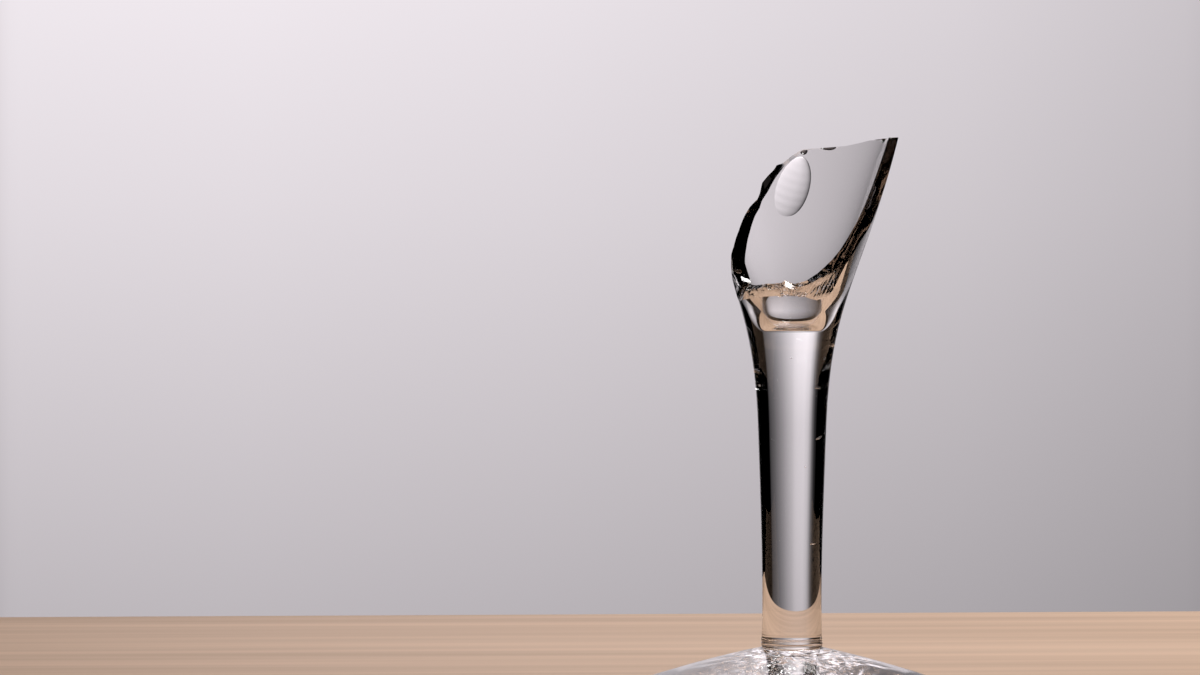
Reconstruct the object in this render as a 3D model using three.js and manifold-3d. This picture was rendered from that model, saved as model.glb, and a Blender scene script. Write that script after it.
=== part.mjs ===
// The lower part of a broken wine glass, standing on its foot. Foot, solid stem and what is left of the
// trumpet-shaped bowl are one fused piece of glass, so they are one solid. The bowl is broken off low at the
// front (-Y) and a tall shard of its wall still stands at the back and right.
//
// Millimetres, +Z up. The origin is the centre of the foot's underside and +Z is the axis of the glass.
// Angles go round that axis in degrees: 0 is +X (right), 90 is +Y (back), -90 is -Y (front).

import * as THREE from 'three';
import { mergeVertices } from 'three/addons/utils/BufferGeometryUtils.js';
import Module from 'manifold-3d';

// Foot
const footRadius = 34;
const footEdgeRadius = 1.1; // the rounded edge all round the foot
const standingRingInner = 24; // the foot stands on a flat ring, and is hollowed inside it
const hollowDepth = 1.8;
const crownRadius = 6.9; // the crown of the foot, where the collar sits on it
const crownHeight = 9.7;

// Collar: the fused bead where the stem was joined to the foot
const collarRadius = 6.5;
const collarTop = 12.1;

// Stem, solid, a little thinner at its waist
const stemFootRadius = 6.35;
const stemWaistHeight = 24;
const stemWaistRadius = 5.98;
const bowlStartHeight = 57; // the stem swells into the bowl from here
const bowlStartRadius = 7.22;

// Bowl, before it was broken
const bowlTopHeight = 119;
const bowlOuterTopRadius = 22.65;
const bowlInnerTopRadius = 20.8;
const shoulderHeight = 86.2; // below this the inside narrows to a pit over the stem
const shoulderRadius = 8.67;
const cavityCornerHeight = 81.2;
const cavityCornerRadius = 6.25;
const cavityFloorHeight = 77;
const cavityFloorRadius = 3.8;

// The break, as [angle, height at the inner wall, height at the outer wall]
const breakLine = [
  [-180, 86.2, 83.6], [-165, 86.1, 82.8], [-150, 86.1, 83.1], [-120, 86.4, 83.7], [-99, 87.0, 83.9],
  [-87, 86.4, 83.8], [-76, 86.8, 83.6], [-64, 87.8, 83.0], [-50, 89.9, 84.0], [-41, 91.7, 88.0],
  [-34, 93.4, 91.6], [-28.5, 95.5, 93.9], [-20, 98.9, 96.8], [-14, 102.2, 98.8], [-10.5, 105.6, 100.7],
  [-7, 110.7, 104.5], [-4, 117.0, 109.0], [-1.5, 117.0, 114.0], [0, 117.0, 117.0], [21, 117.0, 117.1],
  [36, 116.8, 117.0], [55, 115.8, 116.1], [71, 115.5, 115.6], [84, 114.8, 115.3], [88, 113.4, 114.5],
  [95, 111.7, 112.5], [102, 109.0, 110.6], [108.5, 106.0, 108.2], [114, 104.1, 104.4], [122.5, 100.8, 101.9],
  [132, 97.3, 98.4], [143, 93.9, 94.7], [157, 90.7, 90.8], [164, 87.2, 88.8], [171, 86.4, 86.8],
  [177, 86.2, 84.2], [180, 86.2, 83.6],
];

// Where the break stands proud of a straight line across the wall: [angle, outwards, upwards]
const breakRidge = [
  [-180, 0.2, 0.5], [-150, 0.15, 0.3], [-88, 0.15, 0.3], [-77, 0.3, 0.7], [-61, 0.95, 1.9], [-50, 0.8, 1.6],
  [-40, 0.6, 0.3], [-25, 0, 0], [157, 0, 0], [180, 0.2, 0.5],
];

// Ripples and teeth along the break: [waves round the glass, height, phase]
const breakTeeth = [
  [19, 0.16, 0.4], [33, 0.13, 2.1], [58, 0.09, 4.0],
];

// Shell-shaped flakes that came off the wall beside the break. Each is an ellipsoid that bites into one side.
// half gives its depth, width and height, halved.
const flakes = [
  { side: 'inner', angle: 91.2, height: 107, half: [1.5, 4.05, 7.6], bite: 0.8, lean: 15 },
  { side: 'inner', angle: 17, height: 117.2, half: [1.3, 1.1, 0.8], bite: 0.8, lean: 10 },
  { side: 'outer', angle: -102, height: 84.2, half: [0.9, 1.3, 0.8], bite: 0.5, lean: 0 },
  { side: 'outer', angle: -172, height: 83.6, half: [0.9, 1.1, 0.9], bite: 0.5, lean: 10 },
];

// Fineness of the mesh
const glassSegments = 64;
const breakSegments = 120;
const tolerance = 1e-4;

const degrees = THREE.MathUtils.degToRad;
const point = (radius, height) => new THREE.Vector2(radius, height);

// The bowl's two walls are curves in the plane of the axis: x is the radius and y the height.
const outerWall = new THREE.CubicBezierCurve(
  point(bowlStartRadius, bowlStartHeight),
  point(8.25, 84.5),
  point(15.1, 87.3),
  point(bowlOuterTopRadius, bowlTopHeight),
);
const innerWall = new THREE.CurvePath();
innerWall.add(new THREE.CubicBezierCurve(
  point(cavityCornerRadius, cavityCornerHeight),
  point(6.82, 83.4),
  point(8.05, 85.02),
  point(shoulderRadius, shoulderHeight),
));
innerWall.add(new THREE.CubicBezierCurve(
  point(shoulderRadius, shoulderHeight),
  point(10.86, 90.35),
  point(14.38, 98.3),
  point(bowlInnerTopRadius, bowlTopHeight),
));

// Radius of a wall at a height, found by halving, since height only rises along the curve.
function radiusAt(wall, height) {
  let low = 0;
  let high = 1;
  for (let i = 0; i < 30; i += 1) {
    const middle = (low + high) / 2;
    if (wall.getPoint(middle).y < height) {
      low = middle;
    } else {
      high = middle;
    }
  }
  return wall.getPoint(low).x;
}

// One closed outline from the axis under the foot, out and up the outside, and back down inside the bowl.
function glassOutline() {
  const underside = new THREE.QuadraticBezierCurve(
    point(0, hollowDepth),
    point(standingRingInner * 0.6, hollowDepth),
    point(standingRingInner, 0),
  );
  const edgeCentre = footRadius - footEdgeRadius;
  const edge = new THREE.EllipseCurve(
    edgeCentre, footEdgeRadius, footEdgeRadius, footEdgeRadius, -Math.PI / 2, Math.PI / 3, false,
  );
  const edgeEnd = edge.getPoint(1);
  const footTop = new THREE.QuadraticBezierCurve(
    edgeEnd,
    point(20, crownHeight - 0.24 * (20 - crownRadius)),
    point(crownRadius, crownHeight),
  );
  const collar = new THREE.SplineCurve([
    point(crownRadius - 0.45, crownHeight + 0.12),
    point(collarRadius, crownHeight + 0.7),
    point(collarRadius, collarTop - 0.6),
    point(stemFootRadius, collarTop),
  ]);
  const stem = new THREE.CubicBezierCurve(
    point(stemFootRadius, collarTop + 0.3),
    point(stemWaistRadius, stemWaistHeight),
    point(bowlStartRadius - 0.5, bowlStartHeight - 14),
    point(bowlStartRadius, bowlStartHeight),
  );
  const corner = new THREE.CubicBezierCurve(
    point(cavityCornerRadius, cavityCornerHeight),
    point(cavityCornerRadius - 0.15, cavityCornerHeight - 0.8),
    point(cavityFloorRadius + 1.2, cavityFloorHeight + 0.2),
    point(cavityFloorRadius, cavityFloorHeight),
  );
  return [
    ...underside.getPoints(4),
    ...edge.getPoints(5),
    ...footTop.getPoints(4).slice(1),
    ...collar.getPoints(5),
    ...stem.getPoints(5),
    ...outerWall.getPoints(11).slice(1),
    ...innerWall.getPoints(5).reverse(),
    ...corner.getPoints(4).slice(1),
    point(0, cavityFloorHeight),
  ];
}

// A lathe turned upright, so that its axis is +Z.
function turned(outline, segments) {
  return new THREE.LatheGeometry(outline, segments).rotateX(Math.PI / 2);
}

// Teeth of the break at an angle, in radians: sharp on their crests, as broken glass is.
function teethAt(angle) {
  return breakTeeth.reduce((sum, [count, height, phase]) => {
    const wave = Math.abs(Math.sin((count * angle) / 2 + phase));
    return sum + height * (1 - 2 * wave);
  }, 0);
}

// Reads a table of [angle, ...values] between its rows.
function readTable(rows) {
  const angles = rows.map(([angle]) => angle);
  return new THREE.LinearInterpolant(angles, rows.flatMap((row) => row.slice(1)), 2);
}

const breakHeights = readTable(breakLine);
const ridges = readTable(breakRidge);

// Everything above the break, as one body. Its floor is the break surface: rows at set shares of the way
// through the wall, 0 at the inner wall and 1 at the outer wall, run round the glass at the break's height.
function brokenAway() {
  const shares = [-0.6, 0, 0.5, 1, 1.6];
  const top = bowlTopHeight + 6;
  const reach = bowlOuterTopRadius + 8;
  const middle = (cavityCornerHeight + bowlTopHeight) / 2;
  const outline = [
    point(0, middle),
    ...shares.map(() => point(1, middle)),
    point(reach, middle),
    point(reach, top),
    point(0, top),
  ];
  const body = turned(outline, breakSegments);
  const positions = body.getAttribute('position');
  for (let i = 0; i <= breakSegments; i += 1) {
    const turn = ((i % breakSegments) / breakSegments) * 360 - 180;
    const [inner, outer] = breakHeights.evaluate(turn);
    const [ridgeOut, ridgeUp] = ridges.evaluate(turn);
    const innerRadius = radiusAt(innerWall, inner);
    const outerRadius = radiusAt(outerWall, outer);
    const angle = degrees(turn);
    shares.forEach((share, row) => {
      const proud = share === 0.5 ? 1 : 0;
      const radius = THREE.MathUtils.lerp(innerRadius, outerRadius, share) + ridgeOut * proud;
      const straight = THREE.MathUtils.lerp(inner, outer, share) + ridgeUp * proud;
      const height = straight + teethAt(angle + 0.04 * share);
      const place = i * outline.length + row + 1;
      positions.setXYZ(place, radius * Math.cos(angle), radius * Math.sin(angle), height);
    });
    const rim = i * outline.length + shares.length + 1;
    const last = positions.getZ(rim - 1);
    positions.setXYZ(rim, reach * Math.cos(angle), reach * Math.sin(angle), last);
    positions.setXYZ(rim + 1, reach * Math.cos(angle), reach * Math.sin(angle), top);
  }
  return body;
}

// An ellipsoid laid along the wall, so that it bites the wanted depth into the named side.
function flakeBody(flake) {
  const wall = flake.side === 'inner' ? innerWall : outerWall;
  const outward = flake.side === 'inner' ? -1 : 1;
  const radius = radiusAt(wall, flake.height);
  const slope = Math.atan(radiusAt(wall, flake.height + 0.5) - radiusAt(wall, flake.height - 0.5));
  const centre = radius + outward * (flake.half[0] - flake.bite);
  return new THREE.SphereGeometry(1, 20, 12)
    .scale(...flake.half)
    .rotateX(degrees(flake.lean))
    .rotateY(slope)
    .translate(centre, 0, flake.height)
    .rotateZ(degrees(flake.angle));
}

const wasm = await Module();
wasm.setup();

function toSolid(geometry) {
  const bare = geometry.clone();
  bare.deleteAttribute('normal');
  bare.deleteAttribute('uv');
  const merged = mergeVertices(bare, tolerance);
  return new wasm.Manifold(new wasm.Mesh({
    numProp: 3,
    vertProperties: Float32Array.from(merged.getAttribute('position').array),
    triVerts: Uint32Array.from(merged.getIndex().array),
  }));
}

function toGeometry(solid) {
  const mesh = solid.getMesh();
  const geometry = new THREE.BufferGeometry();
  geometry.setAttribute('position', new THREE.BufferAttribute(mesh.vertProperties, 3));
  geometry.setIndex(new THREE.BufferAttribute(mesh.triVerts, 1));
  geometry.computeVertexNormals();
  return geometry;
}

let glass = toSolid(turned(glassOutline(), glassSegments));
for (const cut of [brokenAway(), ...flakes.map(flakeBody)]) {
  glass = glass.subtract(toSolid(cut));
}

const clearGlass = new THREE.MeshStandardMaterial({
  color: 0xe4e9ea,
  roughness: 0.03,
  metalness: 0,
  transparent: true,
  opacity: 0.35,
});

const wineGlass = new THREE.Mesh(toGeometry(glass), clearGlass);
wineGlass.name = 'wine_glass';

const group = new THREE.Group();
group.name = 'broken_wine_glass';
group.add(wineGlass);

export default group;
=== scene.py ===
import math

import bmesh
import bpy
import numpy as np
from mathutils import Matrix, Vector, noise
from mathutils.geometry import interpolate_bezier


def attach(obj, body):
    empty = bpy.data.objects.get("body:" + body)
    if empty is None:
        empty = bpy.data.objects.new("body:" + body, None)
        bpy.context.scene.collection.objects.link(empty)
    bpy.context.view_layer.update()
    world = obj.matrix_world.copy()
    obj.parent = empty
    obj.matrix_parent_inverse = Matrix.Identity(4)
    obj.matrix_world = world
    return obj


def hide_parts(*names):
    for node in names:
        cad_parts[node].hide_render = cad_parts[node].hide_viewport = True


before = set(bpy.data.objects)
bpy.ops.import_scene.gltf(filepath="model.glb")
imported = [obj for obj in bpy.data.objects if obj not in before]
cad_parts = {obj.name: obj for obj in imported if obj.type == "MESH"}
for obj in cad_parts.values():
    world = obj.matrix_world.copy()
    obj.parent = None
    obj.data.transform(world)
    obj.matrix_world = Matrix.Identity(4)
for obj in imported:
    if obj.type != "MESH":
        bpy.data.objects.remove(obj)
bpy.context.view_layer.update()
scene = bpy.context.scene
mm = 0.001


# The camera is level with the floor of the bowl, and turned a little left of the glass.
view = {
    "lens": 100,
    "sensor": 36,
    "distance": 0.7012,      # from the axis of the glass
    "height": 0.0901,
    "turnLeft": 3.30,        # degrees
    "tiltDown": 1.23,
}


def addCamera():
    data = bpy.data.cameras.new("camera")
    data.lens = view["lens"]
    data.sensor_width = view["sensor"]
    data.clip_end = 20
    data.dof.use_dof = False
    camera = bpy.data.objects.new("camera", data)
    camera.location = (0, -view["distance"], view["height"])
    camera.rotation_euler = (math.radians(90 - view["tiltDown"]), 0, math.radians(view["turnLeft"]))
    scene.collection.objects.link(camera)
    scene.camera = camera
    return camera


camera = addCamera()


def keepMesh(bm, name, materials=()):
    mesh = bpy.data.meshes.new(name)
    for material in materials:
        mesh.materials.append(material)
    bm.to_mesh(mesh)
    bm.free()
    piece = bpy.data.objects.new(name, mesh)
    scene.collection.objects.link(piece)
    return piece


def newMaterial(name):
    material = bpy.data.materials.new(name)
    material.use_nodes = True
    nodes = material.node_tree.nodes
    nodes.clear()
    return material, nodes, material.node_tree.links


def mixed(nodes, links, kind, first, second):
    # two colours together; each is a socket or a plain colour
    mix = nodes.new("ShaderNodeMix")
    mix.data_type = "RGBA"
    mix.blend_type = kind
    mix.inputs["Factor"].default_value = 1
    for value, socket in ((first, "A"), (second, "B")):
        if isinstance(value, tuple):
            mix.inputs[socket].default_value = value
        else:
            links.new(value, mix.inputs[socket])
    return mix


def rampFrom(nodes, points, top):
    # a colour ramp through [place, brightness] points, with places spread over 0 to 1
    ramp = nodes.new("ShaderNodeValToRGB")
    elements = ramp.color_ramp.elements
    elements.remove(elements[-1])
    low, high = points[0][0], points[-1][0]
    for number, (place, value) in enumerate(points):
        share = (place - low) / (high - low)
        element = elements[0] if number == 0 else elements.new(share)
        element.position = share
        element.color = (value / top, value / top, value / top, 1)
    return ramp


# The stage: a grey sheet hung behind the glass that glows with painted light. Its brightness is painted:
# it fades to dark at its ends and is much brighter towards its top, where it stands in for a light
# above. Then a plain pale board, and one soft light above. The room beyond is dark, which draws the
# black lines in the glass.
sheet = {
    "distance": 1.90,        # in front of the camera
    "tint": (1.0, 0.935, 0.985, 1),
    # painted brightness from left to right, falling off towards the ends, as [metres from the camera's
    # axis, brightness]: seen straight on
    "across": [
        (-0.690, 0.000), (-0.560, 0.032), (-0.470, 0.130), (-0.385, 0.380), (-0.335, 0.672),
        (-0.200, 0.672), (-0.030, 0.635), (0.100, 0.588), (0.205, 0.546), (0.336, 0.463),
        (0.400, 0.270), (0.870, 0.000),
    ],
    # and the painted brightness seen in the glass, by every ray but a camera ray: brighter left of the
    # middle and falling off more steeply to the right
    "paintedInGlass": [
        (-0.690, 0.000), (-0.560, 0.032), (-0.470, 0.140), (-0.390, 0.390), (-0.310, 0.620),
        (-0.185, 0.750), (-0.030, 0.720), (0.050, 0.660), (0.110, 0.560), (0.230, 0.430),
        (0.340, 0.310), (0.462, 0.210), (0.610, 0.125), (0.805, 0.060), (0.870, 0.000),
    ],
    # and from bottom to top, as [metres from the camera's axis, share of that brightness]: dim low down
    # and several times brighter high up, a painted light from above
    "up": [
        (-0.300, 0.55), (-0.150, 0.77), (-0.080, 0.875), (0.000, 1.00), (0.080, 1.13),
        (0.190, 1.28), (0.420, 1.55), (0.620, 2.50), (1.000, 4.20),
    ],
}


def sheetMaterial():
    material, nodes, links = newMaterial("glowing_painted_sheet")
    place = nodes.new("ShaderNodeTexCoord")
    axes = nodes.new("ShaderNodeSeparateXYZ")
    links.new(place.outputs["Object"], axes.inputs[0])
    upTop = max(value for _, value in sheet["up"])

    def tones(axis, points, top):
        spread = nodes.new("ShaderNodeMapRange")
        spread.inputs["From Min"].default_value = points[0][0]
        spread.inputs["From Max"].default_value = points[-1][0]
        links.new(axes.outputs[axis], spread.inputs["Value"])
        ramp = rampFrom(nodes, points, top)
        links.new(spread.outputs["Result"], ramp.inputs["Fac"])
        return ramp.outputs["Color"]

    # camera rays see the one painted brightness and every other ray sees the other, so the light seen in
    # the glass is painted apart from the sheet seen straight on
    rays = nodes.new("ShaderNodeLightPath")
    across = mixed(nodes, links, "MIX", tones("X", sheet["paintedInGlass"], 1), tones("X", sheet["across"], 1))
    links.new(rays.outputs["Is Camera Ray"], across.inputs["Factor"])
    glow = mixed(nodes, links, "MULTIPLY", across.outputs["Result"], tones("Y", sheet["up"], upTop))
    tint = mixed(nodes, links, "MULTIPLY", glow.outputs["Result"], sheet["tint"])
    # the sheet glows with this painted light, though it is no lamp
    emission = nodes.new("ShaderNodeEmission")
    emission.inputs["Strength"].default_value = upTop
    links.new(tint.outputs["Result"], emission.inputs["Color"])
    output = nodes.new("ShaderNodeOutputMaterial")
    links.new(emission.outputs[0], output.inputs["Surface"])
    return material


def addSheet():
    # it hangs from the camera, as behind a turntable, so every side of the glass is seen against it
    left, right = sheet["across"][0][0], sheet["across"][-1][0]
    bottom, top = sheet["up"][0][0], sheet["up"][-1][0]
    bm = bmesh.new()
    corners = bmesh.ops.create_grid(bm, x_segments=1, y_segments=1, size=0.5)["verts"]
    bmesh.ops.scale(bm, vec=(right - left, top - bottom, 1), verts=corners)
    bmesh.ops.translate(bm, vec=((left + right) / 2, (bottom + top) / 2, 0), verts=corners)
    piece = keepMesh(bm, "glowing_painted_sheet")
    piece.data.materials.append(sheetMaterial())
    piece.parent = camera
    piece.location = (0, 0, -sheet["distance"])


board = {
    "behind": 0.1655,        # the far edge, behind the glass
    "front": 0.12,
    "halfWidth": 0.34,
    "thickness": 0.03,
    "gap": 0.0002,           # the air left under the standing ring
    "turn": 6.0,             # degrees
    "rounding": 0.0012,      # of its edges
    "plank": 0.055,
    "grain": (3, 110, 110),  # waves to the metre along, across and through the wood
    "dark": (0.50, 0.32, 0.21, 1),
    "pale": (0.71, 0.48, 0.335, 1),
    "toneFrom": 0.36,
    "toneTo": 0.62,
    "roughness": 0.6,
}


def boardMaterial():
    material, nodes, links = newMaterial("pale_board")
    place = nodes.new("ShaderNodeTexCoord")
    turned = nodes.new("ShaderNodeMapping")
    turned.inputs["Rotation"].default_value = (0, 0, -math.radians(board["turn"]))
    links.new(place.outputs["Object"], turned.inputs["Vector"])
    tones = []
    for scale, detail in ((board["grain"], 7), ((1.2, 1 / board["plank"], 1), 2)):
        stretch = nodes.new("ShaderNodeMapping")
        stretch.inputs["Scale"].default_value = scale
        links.new(turned.outputs["Vector"], stretch.inputs["Vector"])
        grain = nodes.new("ShaderNodeTexNoise")
        grain.inputs["Scale"].default_value = 1
        grain.inputs["Detail"].default_value = detail
        links.new(stretch.outputs["Vector"], grain.inputs["Vector"])
        tones.append(grain)
    both = nodes.new("ShaderNodeMix")
    both.inputs["Factor"].default_value = 0.5
    links.new(tones[0].outputs["Fac"], both.inputs["A"])
    links.new(tones[1].outputs["Fac"], both.inputs["B"])
    tone = nodes.new("ShaderNodeValToRGB")
    tone.color_ramp.elements[0].position = board["toneFrom"]
    tone.color_ramp.elements[0].color = board["dark"]
    tone.color_ramp.elements[1].position = board["toneTo"]
    tone.color_ramp.elements[1].color = board["pale"]
    links.new(both.outputs["Result"], tone.inputs["Fac"])
    shader = nodes.new("ShaderNodeBsdfPrincipled")
    shader.inputs["Roughness"].default_value = board["roughness"]
    links.new(tone.outputs["Color"], shader.inputs["Base Color"])
    output = nodes.new("ShaderNodeOutputMaterial")
    links.new(shader.outputs[0], output.inputs["Surface"])
    return material


def addBoard():
    length = board["front"] + board["behind"]
    bm = bmesh.new()
    corners = bmesh.ops.create_cube(bm, size=1)["verts"]
    bmesh.ops.scale(bm, vec=(2 * board["halfWidth"], length, board["thickness"]), verts=corners)
    shift = (0, board["behind"] - length / 2, -board["thickness"] / 2 - board["gap"])
    bmesh.ops.translate(bm, vec=shift, verts=corners)
    turn = Matrix.Rotation(math.radians(board["turn"]), 3, "Z")
    bmesh.ops.rotate(bm, cent=(0, 0, 0), matrix=turn, verts=corners)
    bmesh.ops.bevel(
        bm, geom=bm.edges[:], offset=board["rounding"], affect="EDGES",
        segments=3, profile=0.5, material=-1)
    piece = keepMesh(bm, "pale_board")
    piece.data.materials.append(boardMaterial())


light = {
    "size": 0.40,
    "place": (0.28, 0.12, 0.90),
    "power": 8.5,
}


def addLight():
    data = bpy.data.lights.new("soft_light", "AREA")
    data.shape = "SQUARE"
    data.size = light["size"]
    data.energy = light["power"]
    lamp = bpy.data.objects.new("soft_light", data)
    lamp.location = light["place"]
    scene.collection.objects.link(lamp)
    world = bpy.data.worlds.new("dark_room")
    world.use_nodes = True
    world.node_tree.nodes["Background"].inputs["Color"].default_value = (0, 0, 0, 1)
    scene.world = world


addSheet()
addBoard()
addLight()
scene.view_settings.view_transform = "Standard"
print("camera and stage ready")


# The glass in millimetres: one outline, spun round, with its wall drawn up to the break at every angle.
# Pairs are [radius, height].
glass = {
    "columns": 456,
    "crowding": (0.55, -5),  # the columns stand closer together here, where the break is steepest
    "footRadius": 34.0,
    "footEdge": 1.1,
    "ringInner": 24.0,
    "hollowDepth": 1.8,
    "hollowPull": 0.6,       # the hollow stays flat to about this share of its width
    "hollowStep": 0.6,       # between the rows under the middle of the foot
    "hollowSteps": 22,
    "hollowOuterRows": [15.0, 17.0, 19.0, 21.0, 22.5],
    "crown": (6.9, 9.7),
    "crownSlope": 0.24,
    "crownSlopeTo": 20,
    "crownRows": 12,
    "stemFoot": 6.35,
    "stemFootHeight": 12.14,
    "stemWaist": (5.98, 24.0),
    "stemPull": (6.72, 43),
    "stemRows": 18,
    "bowlStart": (7.22, 57.0),
    "bowlRows": 10,
    "outerPulls": ((8.25, 84.5), (15.1, 87.3)),
    "outerTop": (22.65, 119.0),
    "cavityCorner": (6.25, 81.2),
    "lowerPulls": ((6.82, 83.4), (8.05, 85.02)),
    "innerShoulder": (8.674, 86.2),
    "innerPulls": ((10.857, 90.35), (14.384, 98.3)),
    "innerTop": (20.8, 119.0),
    "floorPulls": ((6.02, 80.3), (5.00, 77.35)),
    "cavityFloor": (3.8, 77.1),
    "cavityRows": 16,
    "cavityMiddle": [(3.0, 77.04), (2.0, 77.01), (1.0, 77.0), (0, 77.0)],
    "wallStart": 80.0,       # above this the wall's rows reach up to the break
    "wallRows": 36,
    "breakRows": 24,
    "lumpReach": 19.0,       # the underside is uneven this far out
    "lumpHeight": 0.36,
    "lumpWaves": 0.36,       # to the millimetre
    "sharpFrom": 32,         # degrees between two faces
}

# the collar where the stem was joined to the foot: two soft beads
collar = [
    (6.62, 9.80), (6.50, 9.92), (6.40, 10.02), (6.33, 10.10), (6.36, 10.22), (6.46, 10.36),
    (6.50, 10.60), (6.48, 10.84), (6.38, 11.00), (6.34, 11.10), (6.38, 11.20), (6.45, 11.36),
    (6.46, 11.60), (6.42, 11.80), (6.36, 11.94), (6.352, 12.06),
]

# The break runs round the glass along the inner wall and along the outer wall,
# as [degrees from +X, height].
innerEdge = np.array([
    (-180, 86.2), (-150, 86.1), (-120, 86.4), (-104, 86.6), (-99, 87.1), (-93, 86.6), (-87, 86.4),
    (-76, 86.8), (-70, 87.2), (-64, 87.8), (-58, 88.6), (-50, 89.9), (-42, 91.4), (-34, 93.4),
    (-28.5, 95.5), (-20, 98.9), (-14, 102.2), (-10.5, 105.6), (-8.5, 108.2), (-7, 110.7),
    (-5.8, 113.2), (-4.8, 115.7), (-4, 117.0), (21, 117.0), (36, 116.8), (55, 115.8), (71, 115.5),
    (84, 114.8), (88, 113.4), (95, 111.7), (102, 109.0), (108.5, 106.0), (114, 104.1),
    (117, 102.5), (122.5, 100.8), (132, 97.3), (143, 93.9), (150, 92.2), (157, 90.7), (160, 88.9),
    (164, 87.2), (170, 86.4), (180, 86.2),
])
outerEdge = np.array([
    (-180, 83.6), (-174, 83.0), (-165, 82.8), (-150, 83.1), (-128, 83.6), (-100, 83.9),
    (-88, 83.8), (-77, 83.7), (-70, 83.3), (-64, 83.0), (-57, 83.2), (-50, 84.0), (-45, 85.2),
    (-41, 88.0), (-37, 90.4), (-30, 93.2), (-25, 95.3), (-17, 97.7), (-11.5, 99.8), (-8.5, 102.3),
    (-6.3, 105.6), (-4.5, 108.2), (-3, 110.7), (-1.8, 113.2), (-0.8, 115.7), (0, 117.0),
    (31, 117.2), (42, 116.9), (58, 115.9), (73, 115.6), (84.5, 115.3), (91, 113.7), (96, 112.2),
    (99.3, 111.9), (101, 110.9), (105, 109.6), (109.5, 107.9), (111, 106.0), (113.5, 104.5),
    (120, 102.8), (125.5, 100.9), (134, 97.6), (145, 94.1), (152, 92.5), (157, 90.8), (163, 89.0),
    (170, 87.3), (173, 85.6), (177, 84.2), (180, 83.6),
])
# Between the two, the break has a blunt ridge that stands off a straight line, as [degrees, out, up].
breakRidge = np.array([
    (-180, 0.2, 0.5), (-150, 0.15, 0.3), (-88, 0.15, 0.3), (-77, 0.3, 0.7), (-70, 0.5, 1.2),
    (-61, 0.95, 1.9), (-50, 0.8, 1.65), (-40, 0.6, 0.3), (-33, 0.2, 0.0), (-25, 0.0, 0.0),
    (96, 0.0, 0.0), (99, -0.12, -0.3), (108, -0.15, -0.4), (111, 0.0, 0.0), (157, 0.0, 0.0),
    (172, 0.1, 0.2), (180, 0.2, 0.5),
])

# ridges that fan out over the front of the break, right of the middle
hackle = {"middle": -56, "reach": 21, "spacing": 6.2, "shear": 34, "depth": 0.16}

# The fresh break is a little uneven all round, and rougher round the front. Each of the two grains is
# [waves to the millimetre, height everywhere, height added at the front].
unevenBreak = {
    "middle": -105,
    "reach": 75,
    "radius": 9,
    "acrossBreak": 1.6,
    "coarse": (0.9, 0.012, 0.11),
    "fine": (3.1, 0.001, 0.035),
}

bodyZone, outerZone, breakZone, innerZone = 0, 1, 2, 3


def curve(start, pulls, end, count):
    points = [Vector((*p, 0)) for p in (start, *pulls, end)]
    return [(p.x, p.y) for p in interpolate_bezier(*points, count)]


def bent(start, pull, end, count):
    # a curve with one pull point
    a, b, c = Vector(start), Vector(pull), Vector(end)
    return curve(a, (a.lerp(b, 2 / 3), c.lerp(b, 2 / 3)), c, count)


outerWall = np.array(curve(glass["bowlStart"], glass["outerPulls"], glass["outerTop"], 400))
innerWall = np.array(
    curve(glass["cavityCorner"], glass["lowerPulls"], glass["innerShoulder"], 100)[:-1]
    + curve(glass["innerShoulder"], glass["innerPulls"], glass["innerTop"], 400))


def radiusAt(wall, height):
    return float(np.interp(height, wall[:, 1], wall[:, 0]))


def along(line, turn, column=1):
    return float(np.interp(turn, line[:, 0], line[:, column]))


def stemOutline():
    # the outside from the collar up to where the wall starts
    g = glass
    pulls = (g["stemWaist"], g["stemPull"])
    stem = curve((g["stemFoot"], g["stemFootHeight"]), pulls, g["bowlStart"], g["stemRows"])
    heights = np.linspace(g["bowlStart"][1], g["wallStart"], g["bowlRows"])[1:]
    return stem + [(radiusAt(outerWall, z), z) for z in heights]


def glassRows():
    # the outline from the middle of the foot's underside, up the outside, over the break and down
    # inside, as [radius, height, zone, share], where share says how far along its zone a row is
    g = glass
    rows = []

    def body(points):
        rows.extend((r, z, bodyZone, 0.0) for r, z in points)

    hollowPull = (g["ringInner"] * g["hollowPull"], g["hollowDepth"])
    hollow = bent((0, g["hollowDepth"]), hollowPull, (g["ringInner"], 0), 200)
    hollowRadii = [p[0] for p in hollow]
    hollowHeights = [p[1] for p in hollow]
    radii = [g["hollowStep"] * (step + 1) for step in range(g["hollowSteps"])] + g["hollowOuterRows"]
    body([(0, g["hollowDepth"])])
    body([(r, float(np.interp(r, hollowRadii, hollowHeights))) for r in radii])
    centre = g["footRadius"] - g["footEdge"]
    body([(g["ringInner"], 0), ((g["ringInner"] + centre) / 2, 0)])
    arc = [math.radians(a) for a in range(-90, 61, 15)]
    edge = [(centre + g["footEdge"] * math.cos(a), g["footEdge"] * (1 + math.sin(a))) for a in arc]
    body(edge)
    crownRadius, crownHeight = g["crown"]
    slopeDrop = g["crownSlope"] * (g["crownSlopeTo"] - crownRadius)
    body(bent(edge[-1], (g["crownSlopeTo"], crownHeight - slopeDrop), g["crown"], g["crownRows"])[1:])
    body(collar)
    body(stemOutline())
    # the wall and the break get their true place once they are spun; here they only keep their order
    wallShares = [(i + 1) / g["wallRows"] for i in range(g["wallRows"])]
    breakShares = [i / (g["breakRows"] + 1) for i in range(1, g["breakRows"] + 1)]
    rows.extend((20.0, 100.0 + share, outerZone, share) for share in wallShares)
    rows.extend((19.0 - share, 110.0, breakZone, 1 - share) for share in breakShares)
    rows.extend((15.0, 100.0 + share, innerZone, share) for share in reversed(wallShares))
    body(curve(g["cavityCorner"], g["floorPulls"], g["cavityFloor"], g["cavityRows"]))
    body(g["cavityMiddle"])
    return rows


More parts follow.
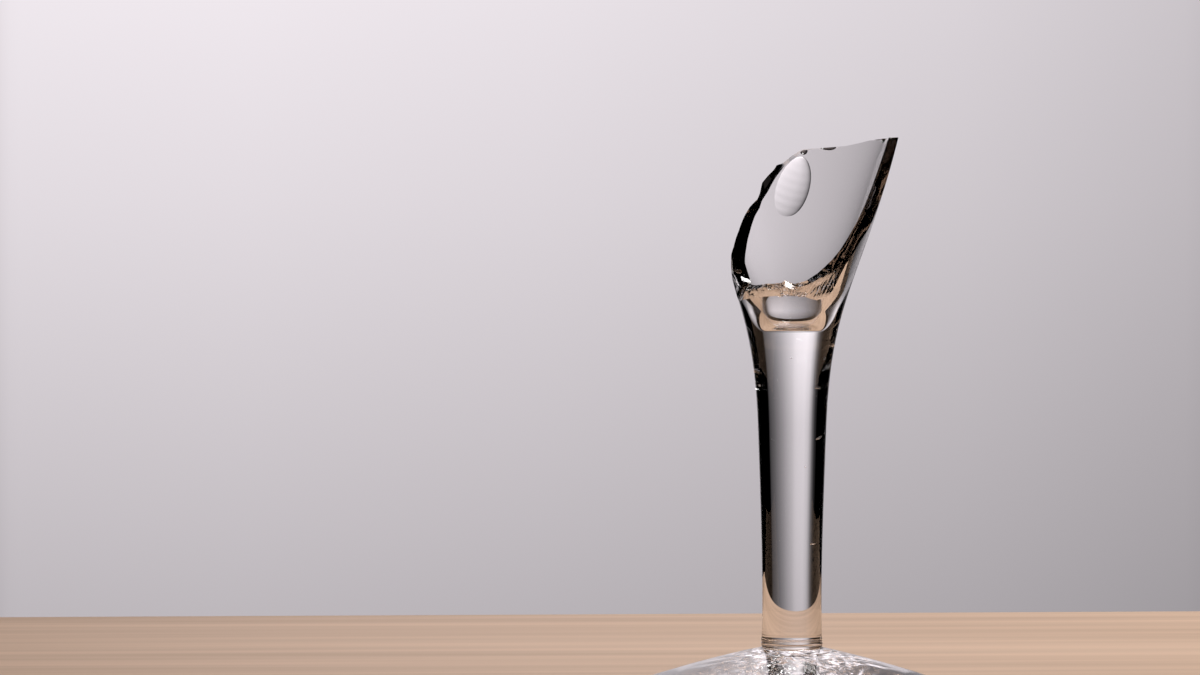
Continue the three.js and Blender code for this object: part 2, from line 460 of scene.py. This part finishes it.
def breakGrain(turn, share):
    # how far the fresh break stands off its plain shape
    angle = math.radians(turn)
    across, up = unevenBreak["radius"] * math.cos(angle), unevenBreak["radius"] * math.sin(angle)
    place = Vector((across, up, unevenBreak["acrossBreak"] * share))
    front = min(1.0, 2 * max(0.0, 1 - abs(turn - unevenBreak["middle"]) / unevenBreak["reach"]))
    return sum(noise.noise(place * waves) * (everywhere + atFront * front)
               for waves, everywhere, atFront in (unevenBreak["coarse"], unevenBreak["fine"]))


def hackleAt(turn, share):
    reach = max(0.0, 1 - abs(turn - hackle["middle"]) / hackle["reach"])
    wave = (turn + hackle["shear"] * share) / hackle["spacing"] * math.pi
    return hackle["depth"] * min(1.0, 2 * reach) * (1 - 2 * abs(math.sin(wave)))


def wallTop(line, turn, share):
    return along(line, turn) + breakGrain(turn, share)


def breakPoint(turn, share):
    inner, outer = wallTop(innerEdge, turn, 0), wallTop(outerEdge, turn, 1)
    innerRadius, outerRadius = radiusAt(innerWall, inner), radiusAt(outerWall, outer)
    proud = 1 - abs(2 * share - 1)
    straight = along(innerEdge, turn) * (1 - share) + along(outerEdge, turn) * share
    height = straight + along(breakRidge, turn, 2) * proud + breakGrain(turn, share)
    radius = innerRadius + (outerRadius - innerRadius) * share + along(breakRidge, turn) * proud
    if share > 0.5:
        # the fanned ridges start in the middle of the break and end at the outer wall
        radius += hackleAt(turn, share) * min(1, 5 * (1 - share), 4 * (share - 0.5))
    return radius, height


def glassBody():
    bm = bmesh.new()
    zone = bm.verts.layers.int.new("zone")
    share = bm.verts.layers.float.new("share")
    verts = []
    for r, z, kind, part in glassRows():
        vert = bm.verts.new((r * mm, 0, z * mm))
        vert[zone] = kind
        vert[share] = part
        verts.append(vert)
    edges = [bm.edges.new(pair) for pair in zip(verts, verts[1:])]
    bmesh.ops.spin(
        bm, geom=verts + edges, cent=(0, 0, 0), axis=(0, 0, 1), angle=math.tau,
        steps=glass["columns"], use_merge=True, use_duplicate=False)
    bmesh.ops.remove_doubles(bm, verts=bm.verts, dist=1e-6)
    crowd, crowdedAngle = glass["crowding"][0], math.radians(glass["crowding"][1])
    for vert in bm.verts:
        # every row is put in its true place at this angle
        kind, part = vert[zone], vert[share]
        angle = math.atan2(vert.co.y, vert.co.x)
        angle -= crowd * math.sin(angle - crowdedAngle)
        turn = (math.degrees(angle) + 180) % 360 - 180
        r, z = vert.co.xy.length / mm, vert.co.z / mm
        if kind == outerZone:
            z = glass["wallStart"] + (wallTop(outerEdge, turn, 1) - glass["wallStart"]) * part
            r = radiusAt(outerWall, z)
        elif kind == innerZone:
            start = glass["cavityCorner"][1]
            z = start + (wallTop(innerEdge, turn, 0) - start) * part
            r = radiusAt(innerWall, z)
        elif kind == breakZone:
            r, z = breakPoint(turn, part)
        elif z < 2 and r < glass["lumpReach"]:
            fade = min(1, 2 * (1 - r / glass["lumpReach"]))
            place = Vector((r * math.cos(angle), r * math.sin(angle), 0)) * glass["lumpWaves"]
            z += glass["lumpHeight"] * fade * noise.fractal(place, 1.0, 2.0, 3)
        vert.co = (r * mm * math.cos(angle), r * mm * math.sin(angle), z * mm)
    bmesh.ops.recalc_face_normals(bm, faces=bm.faces)
    if bm.calc_volume(signed=True) < 0:
        bmesh.ops.reverse_faces(bm, faces=bm.faces)
    for face in bm.faces:
        face.material_index = int(any(vert[zone] == breakZone for vert in face.verts))
    return keepMesh(bm, "broken_glass", surfaces)


# Shell-shaped flakes that came off beside the break, each an ellipsoid that bites into a wall.
# half is its depth, width and height, halved, bite how deep it goes, and lean and twist turn it.
# The first is the large one.
flakes = [
    {"side": "inner", "turn": 90.4, "height": 107.0, "half": (1.5, 3.8, 7.5), "bite": 0.84,
     "lean": 16, "twist": 8, "fineness": 5, "ripple": 0.02, "surface": 3},
    {"side": "inner", "turn": 17, "height": 117.2, "half": (1.3, 1.4, 1.1), "bite": 1.0, "lean": 10},
    {"side": "inner", "turn": 29, "height": 117.2, "half": (0.7, 2.2, 0.5), "bite": 0.5, "lean": 5},
    {"side": "inner", "turn": 68, "height": 115.8, "half": (1.0, 2.2, 0.8), "bite": 0.9, "lean": 8},
    {"side": "inner", "turn": 83, "height": 115.1, "half": (1.1, 0.9, 1.1), "bite": 1.0, "lean": -20},
    {"side": "middle", "turn": -112, "height": 86.0, "half": (1.0, 1.2, 0.8), "bite": 0.8, "lean": 35,
     "fineness": 4, "ripple": 0.2},
    {"side": "middle", "turn": -88, "height": 86.9, "half": (1.6, 1.2, 0.7), "bite": 1.3, "lean": -24,
     "fineness": 4, "ripple": 0.25},
    {"side": "outer", "turn": -102, "height": 84.2, "half": (0.8, 0.9, 0.7), "bite": 0.5, "lean": 0},
    {"side": "middle", "turn": 162, "height": 89.4, "half": (1.0, 0.3, 1.2), "bite": 0.8, "lean": -20,
     "fineness": 4, "ripple": 0.25},
    {"side": "outer", "turn": -172, "height": 83.6, "half": (0.9, 0.8, 0.9), "bite": 0.5, "lean": 10},
    {"side": "outer", "turn": -155, "height": 83.7, "half": (0.8, 0.9, 0.7), "bite": 0.5, "lean": -10},
]
ripples = {"waves": 3.2, "bow": 0.6, "bowWaves": 0.5}

# small nicks in the stem's surface; places are [degrees round, height, half width, half height, lean]
nicks = {
    "depth": 0.5,
    "bite": 0.16,
    "fineness": 3,
    "places": [
        (-37, 70.8, 0.75, 0.38, 20), (-152, 65.1, 0.80, 0.36, 0), (-46, 64.7, 1.60, 0.28, 0),
        (-38, 54.2, 2.10, 0.36, 14), (-47, 32.1, 1.50, 0.24, 0), (-91, 71.0, 0.25, 0.30, 0),
        (-66, 48.3, 0.28, 0.26, 0),
    ],
}


def flakeCutter(number, flake):
    inner, outer = radiusAt(innerWall, flake["height"]), radiusAt(outerWall, flake["height"])
    radius = {"inner": inner, "outer": outer, "middle": (inner + outer) / 2}[flake["side"]]
    wall = innerWall if flake["side"] == "inner" else outerWall
    outward = -1 if flake["side"] == "inner" else 1
    slope = math.atan(radiusAt(wall, flake["height"] + 0.5) - radiusAt(wall, flake["height"] - 0.5))
    depth, width, height = flake["half"]
    bm = bmesh.new()
    verts = bmesh.ops.create_icosphere(bm, subdivisions=flake.get("fineness", 3), radius=1)["verts"]
    bmesh.ops.scale(bm, vec=(depth * mm, width * mm, height * mm), verts=verts)
    for vert in verts:
        bow = ripples["bow"] * math.cos(vert.co.y / mm * ripples["bowWaves"])
        ripple = math.sin(vert.co.z / mm * ripples["waves"] + bow)
        vert.co.x *= 1 + flake.get("ripple", 0) * ripple
    for face in bm.faces:
        face.material_index = flake.get("surface", 1)
    centre = (radius + outward * (depth - flake["bite"])) * mm
    place = (
        Matrix.Rotation(math.radians(flake["turn"]), 4, "Z")
        @ Matrix.Translation((centre, 0, flake["height"] * mm))
        @ Matrix.Rotation(slope, 4, "Y")
        @ Matrix.Rotation(math.radians(flake.get("twist", 0)), 4, "Z")
        @ Matrix.Rotation(math.radians(flake["lean"]), 4, "X"))
    bmesh.ops.transform(bm, matrix=place, verts=verts)
    return keepMesh(bm, f"flake_{number}", surfaces)


def stemRadius(height):
    rows = stemOutline()
    return float(np.interp(height, [z for _, z in rows], [r for r, _ in rows]))


def nickCutter():
    bm = bmesh.new()
    for turn, height, halfWidth, halfHeight, lean in nicks["places"]:
        verts = bmesh.ops.create_icosphere(bm, subdivisions=nicks["fineness"], radius=1)["verts"]
        bmesh.ops.scale(bm, vec=(nicks["depth"] * mm, halfWidth * mm, halfHeight * mm), verts=verts)
        centre = stemRadius(height) + nicks["depth"] - nicks["bite"]
        place = (
            Matrix.Rotation(math.radians(turn), 4, "Z")
            @ Matrix.Translation((centre * mm, 0, height * mm))
            @ Matrix.Rotation(math.radians(lean), 4, "X"))
        bmesh.ops.transform(bm, matrix=place, verts=verts)
    for face in bm.faces:
        face.material_index = 2
    return keepMesh(bm, "nicks", surfaces)


def cutAway(piece, cutters):
    # all the cutters become one mesh, and the cut is made once
    bm = bmesh.new()
    for cutter in cutters:
        bm.from_mesh(cutter.data)
        bpy.data.objects.remove(cutter)
    together = keepMesh(bm, "cutter", surfaces)
    cut = piece.modifiers.new("cut", "BOOLEAN")
    cut.operation = "DIFFERENCE"
    cut.solver = "EXACT"
    cut.object = together
    ready = piece.evaluated_get(bpy.context.evaluated_depsgraph_get())
    mesh = bpy.data.meshes.new_from_object(ready)
    piece.modifiers.clear()
    old = piece.data
    piece.data = mesh
    bpy.data.meshes.remove(old)
    bpy.data.objects.remove(together)


# how the three kinds of glass surface differ: size is metres between waves, depth how high they stand
finish = {
    "bending": 1.52,
    "dullFrom": 0.55,        # the tops of the waves, between these two, are the dull places
    "dullTo": 0.75,
    "clear": {"size": 0.012, "depth": 0.000004, "rough": (0.0, 0.0), "tint": (0.995, 0.985, 0.985, 1)},
    "fresh": {"size": 0.0007, "depth": 0.000005, "rough": (0.0, 0.03), "tint": (0.995, 0.985, 0.985, 1)},
    "scuffed": {"size": 0.0003, "depth": 0.00005, "rough": (0.35, 0.6), "tint": (1, 1, 1, 1)},
    # high up, the fresh break is painted nearly black: painted shade for the dark seen where the break
    # looks along the thin wall
    "paintedShade": {"from": 0.0865, "to": 0.0895, "tint": (0.045, 0.036, 0.032, 1)},
}


def surfaceGroup():
    # the unevenness that every kind of glass has: waves of a given size, with duller tops
    group = bpy.data.node_groups.new("glass_surface", "ShaderNodeTree")
    nodes, links = group.nodes, group.links
    for name in ("Scale", "Least Rough", "Most Rough"):
        group.interface.new_socket(name, in_out="INPUT", socket_type="NodeSocketFloat")
    for name in ("Height", "Roughness"):
        group.interface.new_socket(name, in_out="OUTPUT", socket_type="NodeSocketFloat")
    given = nodes.new("NodeGroupInput")
    place = nodes.new("ShaderNodeTexCoord")
    waves = nodes.new("ShaderNodeTexNoise")
    waves.inputs["Detail"].default_value = 2
    links.new(place.outputs["Object"], waves.inputs["Vector"])
    links.new(given.outputs["Scale"], waves.inputs["Scale"])
    dull = nodes.new("ShaderNodeMapRange")
    dull.inputs["From Min"].default_value = finish["dullFrom"]
    dull.inputs["From Max"].default_value = finish["dullTo"]
    links.new(waves.outputs["Fac"], dull.inputs["Value"])
    links.new(given.outputs["Least Rough"], dull.inputs["To Min"])
    links.new(given.outputs["Most Rough"], dull.inputs["To Max"])
    result = nodes.new("NodeGroupOutput")
    links.new(waves.outputs["Fac"], result.inputs["Height"])
    links.new(dull.outputs["Result"], result.inputs["Roughness"])
    return group


glassSurface = surfaceGroup()


def glassMaterial(name, kind, paintedShade=None):
    material, nodes, links = newMaterial(name)
    uneven = nodes.new("ShaderNodeGroup")
    uneven.node_tree = glassSurface
    uneven.inputs["Scale"].default_value = 1 / kind["size"]
    uneven.inputs["Least Rough"].default_value, uneven.inputs["Most Rough"].default_value = kind["rough"]
    bump = nodes.new("ShaderNodeBump")
    bump.inputs["Strength"].default_value = 1
    bump.inputs["Distance"].default_value = kind["depth"]
    links.new(uneven.outputs["Height"], bump.inputs["Height"])
    shader = nodes.new("ShaderNodeBsdfPrincipled")
    shader.inputs["Base Color"].default_value = kind["tint"]
    shader.inputs["Roughness"].default_value = kind["rough"][0]
    shader.inputs["IOR"].default_value = finish["bending"]
    shader.inputs["Transmission Weight"].default_value = 1
    links.new(bump.outputs["Normal"], shader.inputs["Normal"])
    if kind["rough"][1] > kind["rough"][0]:
        links.new(uneven.outputs["Roughness"], shader.inputs["Roughness"])
    # painted shade: above a height the break's colour turns nearly black
    if paintedShade:
        place = nodes.new("ShaderNodeTexCoord")
        axes = nodes.new("ShaderNodeSeparateXYZ")
        links.new(place.outputs["Object"], axes.inputs[0])
        rise = nodes.new("ShaderNodeMapRange")
        rise.inputs["From Min"].default_value = paintedShade["from"]
        rise.inputs["From Max"].default_value = paintedShade["to"]
        links.new(axes.outputs["Z"], rise.inputs["Value"])
        tint = mixed(nodes, links, "MIX", kind["tint"], paintedShade["tint"])
        links.new(rise.outputs["Result"], tint.inputs["Factor"])
        links.new(tint.outputs["Result"], shader.inputs["Base Color"])
    output = nodes.new("ShaderNodeOutputMaterial")
    links.new(shader.outputs[0], output.inputs["Surface"])
    return material


def shadeGlass(piece):
    # smooth but for the sharp edges; every edge where a fresh face meets an old one is sharp
    mesh = piece.data
    mesh.shade_smooth()
    mesh.set_sharp_from_angle(angle=math.radians(glass["sharpFrom"]))
    bm = bmesh.new()
    bm.from_mesh(mesh)
    for edge in bm.edges:
        if len({face.material_index for face in edge.link_faces}) > 1:
            edge.smooth = False
    bm.to_mesh(mesh)
    bm.free()


# the order is that of the faces' material numbers; the scar of the large flake is as clear as the wall
surfaces = [
    glassMaterial("clear_glass", finish["clear"]),
    # the fresh break carries the painted shade high up
    glassMaterial("fresh_break", finish["fresh"], finish["paintedShade"]),
    glassMaterial("scuffed_nick", finish["scuffed"]),
    glassMaterial("flake_scar", finish["clear"]),
]
glassPiece = glassBody()
print("glass spun", len(glassPiece.data.polygons), "faces")
cutAway(glassPiece, [flakeCutter(number, flake) for number, flake in enumerate(flakes)] + [nickCutter()])
slots = [face.material_index for face in glassPiece.data.polygons]
print("flakes cut", len(slots), "faces, by surface", [slots.count(number) for number in range(4)])
shadeGlass(glassPiece)
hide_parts("wine_glass")
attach(glassPiece, "root")

# light passes many faces of the glass before it comes out
scene.cycles.max_bounces = 32
scene.cycles.transmission_bounces = 32
scene.cycles.glossy_bounces = 12
scene.cycles.sample_clamp_indirect = 8
